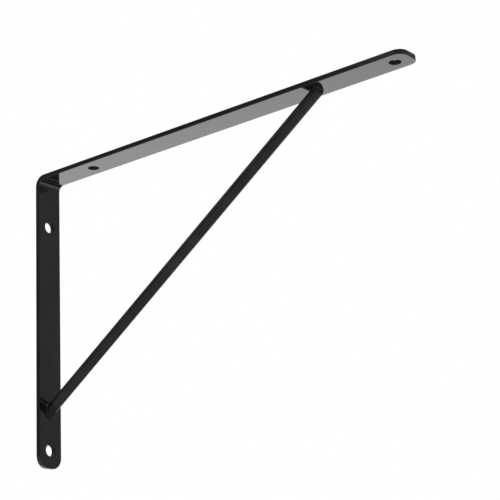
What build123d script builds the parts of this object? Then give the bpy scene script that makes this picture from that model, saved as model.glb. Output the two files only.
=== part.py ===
"""Shelf bracket: a flat steel bar bent to an L, braced by a round strut welded at both ends.

The origin is the middle of the two wall screw holes, on the wall face. X runs out from the
wall, Y across the bar and Z up. All sizes are in millimetres and include the enamel.
"""
import math
import os

from build123d import *

# Flat bar
bar_width = 19.6
bar_thickness = 3.2
leg_length = 200.0
arm_length = 300.0
bend_inner_radius = 4.2
leg_corner_radius = 7.8
arm_corner_radius = 6.4
bar_edge_round = 0.45

# Screw holes, measured from the outside of the bend and from the two ends
wall_hole_diameter = 7.8
wall_hole_drop = 35.0
wall_hole_end_margin = 12.0
shelf_hole_diameter = 7.0
shelf_hole_reach = 45.5
shelf_hole_end_margin = 11.0
hole_rim_chamfer = 0.25

# Round strut: where its axis meets the underside of the arm and the inner face of the leg
strut_diameter = 7.3
strut_reach = 234.3
strut_drop = 161.7
strut_tip_overrun = 0.7
strut_tip_round = 0.6

# Weld beads: how far each runs back along the strut's flanks, and how much fuller its ends are
upper_weld_size = 0.8
upper_weld_run = 4.6
lower_weld_size = 1.2
lower_weld_run = 2.6
weld_end_swell = 1.06

# Levels that follow from the sizes above
wall_hole_lower_drop = leg_length - wall_hole_end_margin
shelf_hole_outer_reach = arm_length - shelf_hole_end_margin
shelf_z = (wall_hole_drop + wall_hole_lower_drop) / 2
arm_under_z = shelf_z - bar_thickness
leg_end_z = shelf_z - leg_length

leg_inner_face = Plane(origin=(bar_thickness, 0, 0), z_dir=(1, 0, 0))
arm_under_face = Plane(origin=(0, 0, arm_under_z), z_dir=(0, 0, -1))


def wall_hole_planes():
    """Both screw places on the leg's inner face, upper one first."""
    drops = (wall_hole_drop, wall_hole_lower_drop)
    return [Plane(origin=(bar_thickness, 0, shelf_z - drop), z_dir=(1, 0, 0)) for drop in drops]


def shelf_hole_planes():
    """Both screw places on the arm's underside, the one near the wall first."""
    reaches = (shelf_hole_reach, shelf_hole_outer_reach)
    return [Plane(origin=(reach, 0, arm_under_z), z_dir=(0, 0, -1)) for reach in reaches]


# Bent bar: the L profile, its rounded end corners, softened edges and four screw holes
with BuildPart() as bent_bar:
    with BuildSketch(Plane.XZ):
        with BuildLine():
            outside = FilletPolyline(
                (0, leg_end_z), (0, shelf_z), (arm_length, shelf_z), radius=bend_inner_radius + bar_thickness
            )
            tip = Line(outside @ 1, (arm_length, arm_under_z))
            inside = FilletPolyline(
                tip @ 1, (bar_thickness, arm_under_z), (bar_thickness, leg_end_z), radius=bend_inner_radius
            )
            Line(inside @ 1, outside @ 0)
        make_face()
    extrude(amount=bar_width / 2, both=True)

    leg_corners = bent_bar.edges().filter_by(Axis.X).group_by(Axis.Z)[0]
    fillet(leg_corners, radius=leg_corner_radius)
    arm_corners = bent_bar.edges().filter_by(Axis.Z).group_by(Axis.X)[-1]
    fillet(arm_corners, radius=arm_corner_radius)

    # Each long edge runs on round both ends, so one pick on the arm softens its whole outline
    long_edges = bent_bar.edges().filter_by(Axis.X).group_by(SortBy.LENGTH)[-1]
    fillet(long_edges, radius=bar_edge_round)

    with Locations(*wall_hole_planes()):
        Hole(radius=wall_hole_diameter / 2, depth=bar_thickness)
    wall_rims = bent_bar.edges(Select.LAST).filter_by(GeomType.CIRCLE)
    chamfer(wall_rims, length=hole_rim_chamfer)

    with Locations(*shelf_hole_planes()):
        Hole(radius=shelf_hole_diameter / 2, depth=bar_thickness)
    shelf_rims = bent_bar.edges(Select.LAST).filter_by(GeomType.CIRCLE)
    chamfer(shelf_rims, length=hole_rim_chamfer)
bent_bar.part.label = "bent_bar"


# Strut: a round rod mitred to both faces, with the thin tip of the upper mitre cropped upright
strut_foot = Vector(bar_thickness, 0, shelf_z - strut_drop)
strut_head = Vector(strut_reach, 0, arm_under_z)
strut_direction = (strut_head - strut_foot).normalized()
strut_overrun = 2 * strut_diameter
strut_blank_length = (strut_head - strut_foot).length + 2 * strut_overrun
strut_tip_face = Plane(origin=(strut_reach + strut_tip_overrun, 0, 0), z_dir=(-1, 0, 0))

with BuildPart() as strut:
    with BuildSketch(Plane(origin=strut_foot - strut_direction * strut_overrun, z_dir=strut_direction)):
        Circle(radius=strut_diameter / 2)
    extrude(amount=strut_blank_length)
    split(bisect_by=leg_inner_face, keep=Keep.TOP)
    split(bisect_by=arm_under_face, keep=Keep.TOP)
    split(bisect_by=strut_tip_face, keep=Keep.TOP)
    tip_rim = strut.faces().sort_by(Axis.X)[-1].edges().filter_by(GeomType.ELLIPSE)
    fillet(tip_rim, radius=strut_tip_round)
strut.part.label = "strut"


# Where the strut's round surface meets each face it leaves half of an ellipse to weld along
arm_contact = Plane(origin=strut_head, x_dir=(1, 0, 0), z_dir=(0, 0, -1))
arm_contact_length = strut_diameter / 2 / strut_direction.Z
leg_contact = Plane(origin=strut_foot, x_dir=(0, 1, 0), z_dir=(1, 0, 0))
leg_contact_height = strut_diameter / 2 / strut_direction.X


def angle_back(distance, half_length):
    """How far round an ellipse, in degrees past its end of the short axis, a point this far back lies."""
    return math.degrees(math.asin(distance / half_length))


# Upper weld: along both flanks and across the cropped tip, under the arm
flank_from = 90 - angle_back(strut_tip_overrun, arm_contact_length)
flank_turn = 90 + angle_back(upper_weld_run, arm_contact_length) - flank_from

with BuildPart() as upper_weld:
    with BuildLine(arm_contact):
        flank = EllipticalCenterArc(
            (0, 0), arm_contact_length, strut_diameter / 2, flank_from, arc_size=flank_turn
        )
    with BuildSketch(Plane(origin=flank @ 0, z_dir=flank % 0)):
        Circle(radius=upper_weld_size)
    sweep(path=flank)
    with Locations(flank @ 0, flank @ 1):
        Sphere(radius=upper_weld_size * weld_end_swell)
    mirror(about=Plane.XZ)
    crossing = 2 * abs((flank @ 0).Y)
    with Locations(Location((strut_reach + strut_tip_overrun, 0, arm_under_z), (90, 0, 0))):
        Cylinder(radius=upper_weld_size, height=crossing)
    split(bisect_by=arm_under_face, keep=Keep.TOP)
    add(strut.part, mode=Mode.SUBTRACT)
upper_weld.part.label = "upper_weld"


# Lower weld: under the strut's foot and up both flanks, on the leg
collar_rise = angle_back(lower_weld_run, leg_contact_height)
collar_turn = 180 + 2 * collar_rise

with BuildPart() as lower_weld:
    with BuildLine(leg_contact):
        collar = EllipticalCenterArc(
            (0, 0), strut_diameter / 2, leg_contact_height, -180 - collar_rise, arc_size=collar_turn
        )
    with BuildSketch(Plane(origin=collar @ 0, z_dir=collar % 0)):
        Circle(radius=lower_weld_size)
    sweep(path=collar)
    with Locations(collar @ 0, collar @ 1):
        Sphere(radius=lower_weld_size * weld_end_swell)
    split(bisect_by=leg_inner_face, keep=Keep.TOP)
    add(strut.part, mode=Mode.SUBTRACT)
lower_weld.part.label = "lower_weld"


os.makedirs("parts", exist_ok=True)
for piece in (bent_bar, strut, upper_weld, lower_weld):
    export_step(piece.part, f"parts/{piece.part.label}.step")
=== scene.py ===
import math

import bpy
from mathutils import Matrix, Vector


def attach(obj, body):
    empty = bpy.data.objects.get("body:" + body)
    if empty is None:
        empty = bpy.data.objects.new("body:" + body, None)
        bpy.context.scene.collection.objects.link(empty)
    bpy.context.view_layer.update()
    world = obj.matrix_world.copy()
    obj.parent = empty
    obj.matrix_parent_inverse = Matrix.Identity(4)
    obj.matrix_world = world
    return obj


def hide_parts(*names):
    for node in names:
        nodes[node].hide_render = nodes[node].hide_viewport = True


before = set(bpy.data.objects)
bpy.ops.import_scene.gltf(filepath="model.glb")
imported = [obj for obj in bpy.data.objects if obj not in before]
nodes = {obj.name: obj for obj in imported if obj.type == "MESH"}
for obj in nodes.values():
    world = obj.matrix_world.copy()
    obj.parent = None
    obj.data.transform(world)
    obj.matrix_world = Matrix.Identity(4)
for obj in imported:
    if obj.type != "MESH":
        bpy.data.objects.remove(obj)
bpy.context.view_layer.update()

scene = bpy.context.scene
scene.view_settings.view_transform = "Standard"


# Shader expressions


class Field:
    """A socket of a shader tree. Arithmetic on it adds the Math nodes that it needs."""

    def __init__(self, tree, socket=None):
        self.tree = tree
        self.socket = socket

    def node(self, kind, settings=None, sockets=None, output=0):
        """One more node of this tree: its settings first, then the values or links of its sockets."""
        made = self.tree.nodes.new("ShaderNode" + kind)
        for name, value in (settings or {}).items():
            setattr(made, name, value)
        for name, value in (sockets or {}).items():
            if isinstance(value, Field):
                self.tree.links.new(value.socket, made.inputs[name])
            else:
                made.inputs[name].default_value = value
        return Field(self.tree, made.outputs[output] if made.outputs else None)

    def _math(self, operation, first, second):
        return self.node("Math", {"operation": operation}, {0: first, 1: second})

    def __add__(self, other):
        return self._math("ADD", self, other)

    def __radd__(self, other):
        return self._math("ADD", other, self)

    def __sub__(self, other):
        return self._math("SUBTRACT", self, other)

    def __rsub__(self, other):
        return self._math("SUBTRACT", other, self)

    def __mul__(self, other):
        return self._math("MULTIPLY", self, other)

    def __rmul__(self, other):
        return self._math("MULTIPLY", other, self)

    def __abs__(self):
        return self.node("Math", {"operation": "ABSOLUTE"}, {0: self})

    def larger(self, other):
        """The larger of this value and the other."""
        return self._math("MAXIMUM", self, other)

    def parts(self):
        """The x, y and z of a vector."""
        outputs = self.node("SeparateXYZ", None, {"Vector": self}).socket.node.outputs
        return [Field(self.tree, output) for output in outputs]

    def ramp(self, low, high):
        """0 below low, 1 above high and smooth between."""
        return self.node(
            "MapRange",
            {"interpolation_type": "SMOOTHSTEP"},
            {"Value": self, "From Min": low, "From Max": high},
        )

    def noise(self, scale, detail=2.0, roughness=0.5):
        """Noise from 0 to 1 at this place; scale is in grains to the metre."""
        return self.node(
            "TexNoise",
            None,
            {"Vector": self, "Scale": scale, "Detail": detail, "Roughness": roughness},
        )

    def tint(self, low, high):
        """A colour between two, picked by this value."""
        return self.node(
            "Mix",
            {"data_type": "RGBA"},
            {"Factor": self, 6: (*low, 1.0), 7: (*high, 1.0)},
            output=2,
        )


def new_tree(owner):
    """The owner's node tree, emptied."""
    owner.use_nodes = True
    owner.node_tree.nodes.clear()
    return Field(owner.node_tree)


# Enamel

# Colours where the enamel lies deep and where it lies thin
ENAMEL_DEEP = (0.0037, 0.0033, 0.0041)
ENAMEL_THIN = (0.0072, 0.0065, 0.0077)
ENAMEL_CLOUDS_PER_METRE = 55.0
ENAMEL_IOR = 1.5
COAT_ROUGHNESS = 0.06
BORE_DULLING = 0.4

# The screw holes' distances from the middle of each pair, and the radii over which their rims end
WALL_HOLE_HEIGHT = 0.0765
WALL_RIM = (0.00418, 0.0043)
SHELF_HOLE_MIDDLE = 0.16725
SHELF_HOLE_REACH = 0.12175
SHELF_RIM = (0.00378, 0.0039)


def within_rim(square_radius, rim):
    """1 inside the rim's first radius, 0 outside its second."""
    inner, outer = rim
    return 1.0 - square_radius.ramp(inner**2, outer**2)


def bore_walls(place):
    """1 on the walls and rims of the four screw holes, 0 on the rest of the bar."""
    x, y, z = place.parts()
    height = abs(z) - WALL_HOLE_HEIGHT
    reach = abs(x - SHELF_HOLE_MIDDLE) - SHELF_HOLE_REACH
    wall_bores = within_rim(y * y + height * height, WALL_RIM)
    shelf_bores = within_rim(y * y + reach * reach, SHELF_RIM)
    return wall_bores + shelf_bores


def enamel(name, peel_size, peel_depth, grain_depth, roughness, coat=1.0, lift=1.0, bored=False):
    """Black enamel over hot-rolled steel.

    The orange peel's size and depth and the grain's depth are in metres. Roughness runs from the
    first value to the second over the enamel's clouds. Lift makes the tone that many times paler.
    """
    deep = [tone * lift for tone in ENAMEL_DEEP]
    thin = [tone * lift for tone in ENAMEL_THIN]
    glossy, dull = roughness
    material = bpy.data.materials.new(name)
    tree = new_tree(material)
    place = tree.node("TexCoord", output=3)

    cloud = place.noise(ENAMEL_CLOUDS_PER_METRE, detail=3.0)
    peel = place.noise(1.0 / peel_size, detail=1.5, roughness=0.45)
    grain = place.noise(5.0 / peel_size, detail=2.0)

    colour = cloud.ramp(0.35, 0.68).tint(deep, thin)
    gloss = glossy + (dull - glossy) * (0.65 * cloud + 0.35 * grain)
    if bored:
        # The brush hardly reached into the holes, so the enamel there is thin and dull
        bores = bore_walls(place)
        gloss = gloss + BORE_DULLING * bores
        coat = coat - coat * bores
    relief = peel_depth * peel + grain_depth * grain
    bump = tree.node("Bump", None, {"Strength": 1.0, "Distance": 1.0, "Height": relief})
    paint = tree.node(
        "BsdfPrincipled",
        None,
        {
            "Base Color": colour,
            "Roughness": gloss,
            "IOR": ENAMEL_IOR,
            "Normal": bump,
            "Coat Weight": coat,
            "Coat Roughness": COAT_ROUGHNESS,
            "Coat IOR": ENAMEL_IOR,
        },
    )
    tree.node("OutputMaterial", None, {"Surface": paint})
    return material


def paint_node(name, material):
    """The CAD node's own slots all take this material."""
    mesh = nodes[name].data
    if not mesh.materials:
        mesh.materials.append(material)
    for index in range(len(mesh.materials)):
        mesh.materials[index] = material


bar_enamel = enamel(
    "black enamel on flat bar",
    peel_size=0.0022,
    peel_depth=0.0000022,
    grain_depth=0.0000002,
    roughness=(0.08, 0.14),
    bored=True,
)
# The rod's tone is 2.4 times paler than the bar's: partly a paler enamel, partly painted sheen
# standing in for the brighter grazing reflections along the rod.
strut_enamel = enamel(
    "black enamel on round rod",
    peel_size=0.0018,
    peel_depth=0.0000030,
    grain_depth=0.0000003,
    roughness=(0.28, 0.38),
    coat=0.2,
    lift=2.4,
)
weld_enamel = enamel(
    "black enamel on weld metal",
    peel_size=0.0012,
    peel_depth=0.0000050,
    grain_depth=0.0000005,
    roughness=(0.32, 0.42),
    coat=0.1,
)
paint_node("bent_bar", bar_enamel)
paint_node("strut", strut_enamel)
paint_node("upper_weld", weld_enamel)
paint_node("lower_weld", weld_enamel)


# Weld beads

ARM_UNDERSIDE = 0.1083
STRUT_FOOT = Vector((0.0032, 0.0, -0.0502))
STRUT_HEAD = Vector((0.2343, 0.0, ARM_UNDERSIDE))
STRUT_AXIS = (STRUT_HEAD - STRUT_FOOT).normalized()
STRUT_RADIUS = 0.00365

# The lower bead takes in the rod's end: a skin round it, cut off 0.6 mm under the leg's surface
ROD_END_SKIN = 0.00006
ROD_END_LENGTH = 0.0100
ROD_END_RISE = 0.0020
ROD_END_CUT = 0.0026

# The upper bead runs out on a slab that is sunk into the arm
UPPER_BEAD_MIDDLE = (0.2318, 0.0, ARM_UNDERSIDE)
ARM_BED_SIZE = (0.0120, 0.0120, 0.0016)
ARM_BED_RISE = 0.00082

# How the flowing enamel changes each bead's size about its middle
UPPER_BEAD_FLOW = (0.86, 0.86, 0.85)
LOWER_BEAD_FLOW = (1.15, 1.05, 1.05)

BEAD_MERGE_DISTANCE = 0.000002
BEAD_VOXEL = 0.00014
BEAD_RELAXING = 0.5


def rod_end():
    """The foot of the strut, a hair thicker than the rod and cut off under the leg's surface."""
    bpy.ops.object.select_all(action="DESELECT")
    bpy.ops.mesh.primitive_cylinder_add(
        vertices=96,
        radius=STRUT_RADIUS + ROD_END_SKIN,
        depth=ROD_END_LENGTH,
        location=STRUT_FOOT + STRUT_AXIS * ROD_END_RISE,
        rotation=STRUT_AXIS.to_track_quat("Z", "Y").to_euler(),
    )
    stub = bpy.context.object
    bpy.ops.object.transform_apply(location=True, rotation=True, scale=True)
    bpy.ops.object.mode_set(mode="EDIT")
    bpy.ops.mesh.select_all(action="SELECT")
    bpy.ops.mesh.bisect(
        plane_co=(ROD_END_CUT, 0.0, 0.0),
        plane_no=(1.0, 0.0, 0.0),
        use_fill=True,
        clear_inner=True,
    )
    bpy.ops.object.mode_set(mode="OBJECT")
    return stub


def arm_bed():
    """A slab just under the surface of the arm, for the upper bead to run out on."""
    x, y, z = UPPER_BEAD_MIDDLE
    bpy.ops.object.select_all(action="DESELECT")
    bpy.ops.mesh.primitive_cube_add(size=1.0, location=(x, y, z + ARM_BED_RISE))
    slab = bpy.context.object
    slab.scale = ARM_BED_SIZE
    return slab


def flowed_bead(node_name, name, bed, middle, flow, relaxing_steps):
    """The CAD bead as the enamel flowed over it, run smooth into the bed that it joins."""
    bpy.ops.object.select_all(action="DESELECT")
    bead = nodes[node_name].copy()
    bead.data = nodes[node_name].data.copy()
    bead.name = name
    bead.parent = None
    bead.matrix_world = nodes[node_name].matrix_world.copy()
    scene.collection.objects.link(bead)
    bead.select_set(True)
    bed.select_set(True)
    bpy.context.view_layer.objects.active = bead
    bpy.ops.object.transform_apply(location=True, rotation=True, scale=True)

    bead.location = [centre - centre * factor for centre, factor in zip(middle, flow)]
    bead.scale = flow
    bpy.ops.object.transform_apply(location=True, rotation=True, scale=True)
    bpy.ops.object.join()
    bpy.ops.object.mode_set(mode="EDIT")
    bpy.ops.mesh.select_all(action="SELECT")
    bpy.ops.mesh.remove_doubles(threshold=BEAD_MERGE_DISTANCE)
    bpy.ops.object.mode_set(mode="OBJECT")

    voxels = bead.modifiers.new("voxels", "REMESH")
    voxels.mode = "VOXEL"
    voxels.voxel_size = BEAD_VOXEL
    relaxing = bead.modifiers.new("relaxing", "SMOOTH")
    relaxing.factor = BEAD_RELAXING
    relaxing.iterations = relaxing_steps
    bpy.ops.object.modifier_apply(modifier="voxels")
    bpy.ops.object.modifier_apply(modifier="relaxing")
    bpy.ops.object.shade_smooth()
    bead.data.materials.clear()
    bead.data.materials.append(weld_enamel)
    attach(bead, "root")
    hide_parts(node_name)


flowed_bead("upper_weld", "upper_weld_bead", arm_bed(), Vector(UPPER_BEAD_MIDDLE), UPPER_BEAD_FLOW, 10)
flowed_bead("lower_weld", "lower_weld_bead", rod_end(), STRUT_FOOT, LOWER_BEAD_FLOW, 14)


# Camera

CAMERA_PLACE = Vector((0.73793, -0.71250, -0.26487))
CAMERA_TURN = math.radians(38.268)
CAMERA_TILT = math.radians(90.0 + 17.455)
CAMERA_ROLL = math.radians(-2.572)
CAMERA_SENSOR = 36.0
CAMERA_LENS = 113.245


def make_camera():
    """The photograph's own viewpoint, tilt and lens, as fitted to the bracket's edges."""
    data = bpy.data.cameras.new("camera")
    data.sensor_width = CAMERA_SENSOR
    data.lens = CAMERA_LENS
    data.clip_start = 0.05
    data.clip_end = 60.0
    camera = bpy.data.objects.new("camera", data)
    scene.collection.objects.link(camera)
    turn = Matrix.Rotation(CAMERA_TURN, 4, "Z") @ Matrix.Rotation(CAMERA_TILT, 4, "X")
    roll = Matrix.Rotation(CAMERA_ROLL, 4, "Z")
    camera.matrix_world = Matrix.Translation(CAMERA_PLACE) @ turn @ roll
    scene.camera = camera


make_camera()


# Studio

ROOM_LIGHT = 0.92
ROOM_WHITE = 0.985
BACKDROP_WHITE = 1.0
FLOOR_TONE = 0.7
FLOOR_LEVEL = -0.80
BACKDROP_DISTANCE = 1.7
LAMP_POWER = 11.0
# White as the photograph's enamel mirrors it
MIRRORED_WHITE = (0.985, 0.950, 1.0)

# Turns of a sheet: upright across the view, upright along the view, and level
QUARTER_TURN = math.radians(90.0)
ACROSS = (QUARTER_TURN, 0.0, CAMERA_TURN)
ALONG = (QUARTER_TURN, 0.0, CAMERA_TURN + QUARTER_TURN)
LEVEL = (0.0, 0.0, CAMERA_TURN)

RIGHT = Vector((math.cos(CAMERA_TURN), math.sin(CAMERA_TURN), 0.0))
AWAY = Vector((-math.sin(CAMERA_TURN), math.cos(CAMERA_TURN), 0.0))
UP = Vector((0.0, 0.0, 1.0))

# Sheets that only the enamel mirrors: size, place to the right, away and up, turn and grey
MIRRORED_SHEETS = (
    ("right curtain", (3.6, 2.7), (1.6, -0.3, 1.05), ALONG, 0.21),
    ("right low card", (1.9, 0.14), (1.6, 0.2, -0.37), ALONG, 0.95),
    ("left curtain low", (3.6, 0.8), (-1.9, -0.3, -0.4), ALONG, 0.28),
    ("left curtain", (3.6, 1.1), (-1.9, -0.3, 0.55), ALONG, 0.09),
    ("left curtain high", (3.6, 1.5), (-1.9, -0.3, 1.85), ALONG, 0.32),
    ("front curtain", (4.4, 3.4), (0.0, -1.9, 0.9), ACROSS, 0.13),
    ("ceiling", (5.0, 5.0), (0.0, 0.0, 2.6), LEVEL, 0.13),
    ("low flag front", (1.76, 1.32), (-0.32, -0.44, -0.45), LEVEL, 0.34),
    ("low flag side", (0.74, 0.4), (0.93, 0.1, -0.45), LEVEL, 0.68),
    ("low flag far", (0.3, 0.4), (1.45, 0.1, -0.45), LEVEL, 0.06),
    ("low flag back", (1.04, 0.65), (1.08, 0.625, -0.45), LEVEL, 0.06),
    ("low flag middle", (0.66, 0.73), (0.23, 0.585, -0.45), LEVEL, 0.06),
    ("low flag corner", (1.04, 1.0), (1.08, -0.6, -0.45), LEVEL, 0.34),
)


def even(level):
    """The grey of this level, as a colour."""
    return (level, level, level, 1.0)


def seen_directly(tree):
    """1 for the rays that see the set, 0 for those that only carry its light."""
    camera = tree.node("LightPath", output="Is Camera Ray")
    glossy = tree.node("LightPath", output="Is Glossy Ray")
    through = tree.node("LightPath", output="Is Transmission Ray")
    return camera.larger(glossy.larger(through))


def make_world():
    """An evenly lit room that is seen as white beyond the set."""
    world = bpy.data.worlds.new("studio")
    scene.world = world
    tree = new_tree(world)
    room = tree.node("Background", None, {"Color": even(ROOM_LIGHT), "Strength": 1.0})
    white = tree.node("Background", None, {"Color": even(ROOM_WHITE), "Strength": 1.0})
    sky = tree.node("MixShader", None, {0: seen_directly(tree), 1: room, 2: white})
    tree.node("OutputWorld", None, {"Surface": sky})


def glow_material(name, level):
    """An even glow, a touch violet where the enamel mirrors it, as in the photograph."""
    material = bpy.data.materials.new(name)
    tree = new_tree(material)
    mirrored = tree.node("LightPath", output="Is Glossy Ray")
    colour = mirrored.tint((level, level, level), [level * part for part in MIRRORED_WHITE])
    glow = tree.node("Emission", None, {"Color": colour, "Strength": 1.0})
    tree.node("OutputMaterial", None, {"Surface": glow})
    return material


def paper_material(name, level):
    """Plain matt paper."""
    material = bpy.data.materials.new(name)
    tree = new_tree(material)
    paper = tree.node("BsdfDiffuse", None, {"Color": even(level)})
    tree.node("OutputMaterial", None, {"Surface": paper})
    return material


def sheet_of_set(name, size, place, turn, material):
    """A flat sheet of the set; its place is told to the right, away and up as the camera looks."""
    to_right, away, up = place
    width, height = size
    bpy.ops.object.select_all(action="DESELECT")
    bpy.ops.mesh.primitive_plane_add(
        size=1.0, location=RIGHT * to_right + AWAY * away + UP * up, rotation=turn
    )
    sheet = bpy.context.object
    sheet.name = name
    sheet.scale = (width, height, 1.0)
    bpy.ops.object.transform_apply(location=True, rotation=True, scale=True)
    sheet.data.materials.append(material)
    return sheet


def mirrored_sheet(name, size, place, turn, level):
    """A grey sheet that the camera doesn't see and that neither lights nor shades the set."""
    sheet = sheet_of_set(name, size, place, turn, glow_material(name, level))
    sheet.visible_camera = False
    sheet.visible_diffuse = False
    sheet.visible_shadow = False


def add_softbox(name, place, target, size, power):
    """A square lamp that the camera doesn't see."""
    data = bpy.data.lights.new(name, "AREA")
    data.shape = "SQUARE"
    data.size = size
    data.energy = power
    lamp = bpy.data.objects.new(name, data)
    lamp.location = place
    lamp.rotation_euler = (Vector(target) - Vector(place)).to_track_quat("-Z", "Y").to_euler()
    lamp.visible_camera = False
    scene.collection.objects.link(lamp)


make_world()
sheet_of_set(
    "backdrop",
    (6.0, 3.6),
    (0.0, BACKDROP_DISTANCE, 1.0),
    ACROSS,
    glow_material("white backdrop", BACKDROP_WHITE),
)
sheet_of_set(
    "floor",
    (14.0, 14.0),
    (0.0, 0.0, FLOOR_LEVEL),
    (0.0, 0.0, 0.0),
    paper_material("pale floor", FLOOR_TONE),
)
for name, size, place, turn, level in MIRRORED_SHEETS:
    mirrored_sheet(name, size, place, turn, level)
add_softbox("overhead softbox", (0.3, -0.4, 1.6), (0.12, 0.0, 0.0), 1.2, LAMP_POWER)
